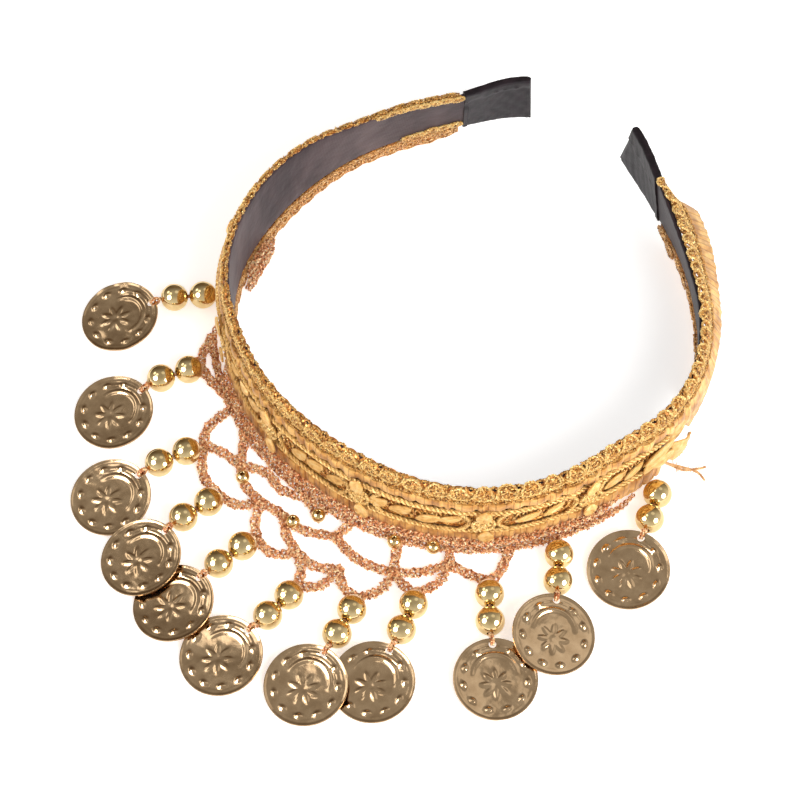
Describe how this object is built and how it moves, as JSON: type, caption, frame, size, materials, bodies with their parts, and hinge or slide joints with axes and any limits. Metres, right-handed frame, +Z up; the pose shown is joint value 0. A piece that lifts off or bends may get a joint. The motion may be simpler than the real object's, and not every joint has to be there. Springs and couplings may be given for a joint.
{
  "type": "coin headband",
  "caption": "Springy horseshoe headband dressed in gold braid, with a crocheted net at its foot and drops of two beads and a pressed coin, lying as on a table.",
  "frame": {"origin": "middle of the head space, on the surface that the band stands on", "axes": "+Y from the crown of the band to its open end, +Z up from the surface, +X to the right with the open end away"},
  "size_m": [0.1654, 0.1861, 0.0283],
  "materials": {
    "satin_lining": "grey mauve satin",
    "end_tape": "black ribbed tape with a slight gloss",
    "gold_edging": "looped metallic yarn",
    "gold_ribbon": "pleated gold satin ribbon",
    "gold_cord": "twisted metallic cord",
    "glitter": "glittering metallic weave",
    "rose_yarn": "rose gold metallic crochet yarn",
    "bead_gold": "mirror gold coating",
    "coin_brass": "polished antique brass",
    "thread": "brown and rose gold thread"
  },
  "bodies": {
    "root": {"band_core": "satin_lining", "tape_left": "end_tape", "tape_right": "end_tape", "edging_top": "gold_edging", "ribbon_upper": "gold_ribbon", "cord_upper": "gold_cord", "channel": "glitter", "channel_leaves": "glitter", "cord_lower": "gold_cord", "ribbon_lower": "gold_ribbon", "ribbon_knots": "gold_ribbon", "ribbon_tail": "gold_ribbon", "edging_foot": "gold_edging", "net": "rose_yarn", "net_tab": "rose_yarn", "net_beads": "bead_gold", "drop_threads": "thread", "bead_inner_01": "bead_gold", "bead_inner_02": "bead_gold", "bead_inner_03": "bead_gold", "bead_inner_04": "bead_gold", "bead_inner_05": "bead_gold", "bead_inner_06": "bead_gold", "bead_inner_07": "bead_gold", "bead_inner_08": "bead_gold", "bead_inner_09": "bead_gold", "bead_inner_10": "bead_gold", "bead_inner_11": "bead_gold", "bead_outer_01": "bead_gold", "bead_outer_02": "bead_gold", "bead_outer_03": "bead_gold", "bead_outer_04": "bead_gold", "bead_outer_05": "bead_gold", "bead_outer_06": "bead_gold", "bead_outer_07": "bead_gold", "bead_outer_08": "bead_gold", "bead_outer_09": "bead_gold", "bead_outer_10": "bead_gold", "bead_outer_11": "bead_gold", "coin_01": "coin_brass", "coin_02": "coin_brass", "coin_03": "coin_brass", "coin_04": "coin_brass", "coin_05": "coin_brass", "coin_06": "coin_brass", "coin_07": "coin_brass", "coin_08": "coin_brass", "coin_09": "coin_brass", "coin_10": "coin_brass", "coin_11": "coin_brass"}
  },
  "joints": []
}
